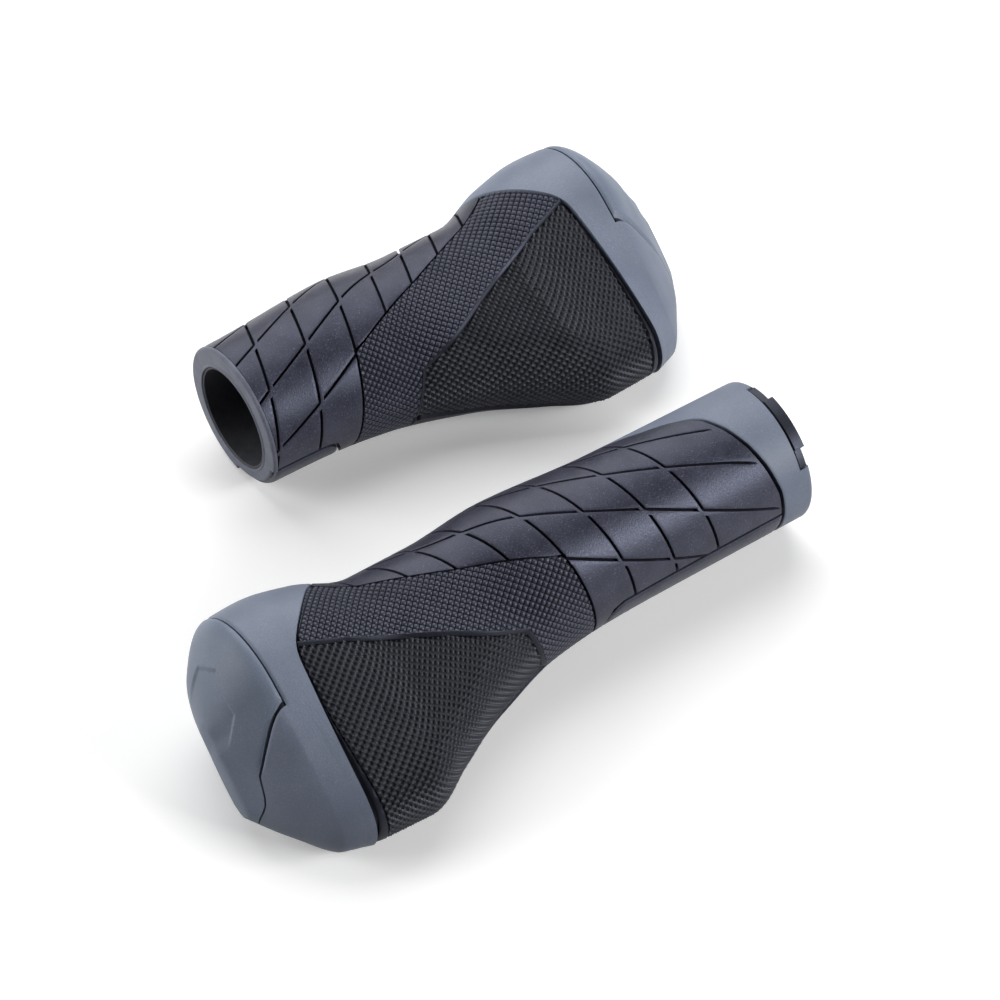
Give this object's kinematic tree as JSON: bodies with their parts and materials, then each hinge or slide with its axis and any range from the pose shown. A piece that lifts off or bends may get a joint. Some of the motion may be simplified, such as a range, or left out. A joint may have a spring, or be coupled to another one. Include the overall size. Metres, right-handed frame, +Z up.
{
  "type": "handlebar grips",
  "caption": "Long and short ergonomic bicycle grips with palm wings: textured rubber sleeves over hard cores, pull-off end caps and hidden clamps for a straight bar.",
  "frame": {"origin": "middle of the pair's footprint, on the surface they lie on", "axes": "+X along both bars, from the long grip's outboard end towards the short grip's; -Y the way both palm wings point; +Z up"},
  "size_m": [0.1556, 0.1303, 0.0354],
  "materials": {
    "nylon": "glass-filled nylon, moulded, matt",
    "gel": "soft polyurethane gel",
    "black_rubber": "moulded, satin diamonds and fine mesh",
    "palm_rubber": "moulded, coarse matt mesh",
    "strip_rubber": "moulded, smooth satin",
    "grey_rubber": "moulded, smooth, soft sheen",
    "grey_plastic": "moulded, soft sheen",
    "aluminium": "turned and sawn",
    "black_steel": "black oxide",
    "badge_plastic": "moulded, satin"
  },
  "bodies": {
    "left_grip": {"left_core": "nylon", "left_gel_pad": "gel", "left_sleeve": "black_rubber", "left_palm_pad": "palm_rubber", "left_under_strip": "strip_rubber", "left_shoulder": "grey_rubber", "left_clamp_ring": "aluminium", "left_clamp_washer": "black_steel", "left_collar": "grey_rubber", "left_badge": "badge_plastic"},
    "right_grip": {"right_core": "nylon", "right_gel_pad": "gel", "right_sleeve": "black_rubber", "right_palm_pad": "palm_rubber", "right_under_strip": "strip_rubber", "right_shoulder": "grey_rubber", "right_clamp_ring": "aluminium", "right_clamp_washer": "black_steel"},
    "left_cap": {"left_end_cap": "grey_plastic"},
    "right_cap": {"right_end_cap": "grey_plastic"},
    "left_bolt": {"left_clamp_bolt": "black_steel"},
    "right_bolt": {"right_clamp_bolt": "black_steel"}
  },
  "joints": [
    {"name": "right_grip_lift", "type": "slide", "parent": "left_grip", "child": "right_grip", "axis": [0, 0, 1], "range_m": [0, 0.06]},
    {"name": "left_cap_pull", "type": "slide", "parent": "left_grip", "child": "left_cap", "axis": [-1, 0, 0], "range_m": [0, 0.04]},
    {"name": "left_bolt_turn", "type": "hinge", "parent": "left_grip", "child": "left_bolt", "pos_m": [-0.06025, -0.04624, 0.0021], "axis": [0, 0, -1], "range_deg": [0, 720]},
    {"name": "right_cap_pull", "type": "slide", "parent": "right_grip", "child": "right_cap", "axis": [1, 0, 0], "range_m": [0, 0.04]},
    {"name": "right_bolt_turn", "type": "hinge", "parent": "right_grip", "child": "right_bolt", "pos_m": [0.06025, 0.02696, 0.0021], "axis": [0, 0, -1], "range_deg": [0, 720]}
  ]
}
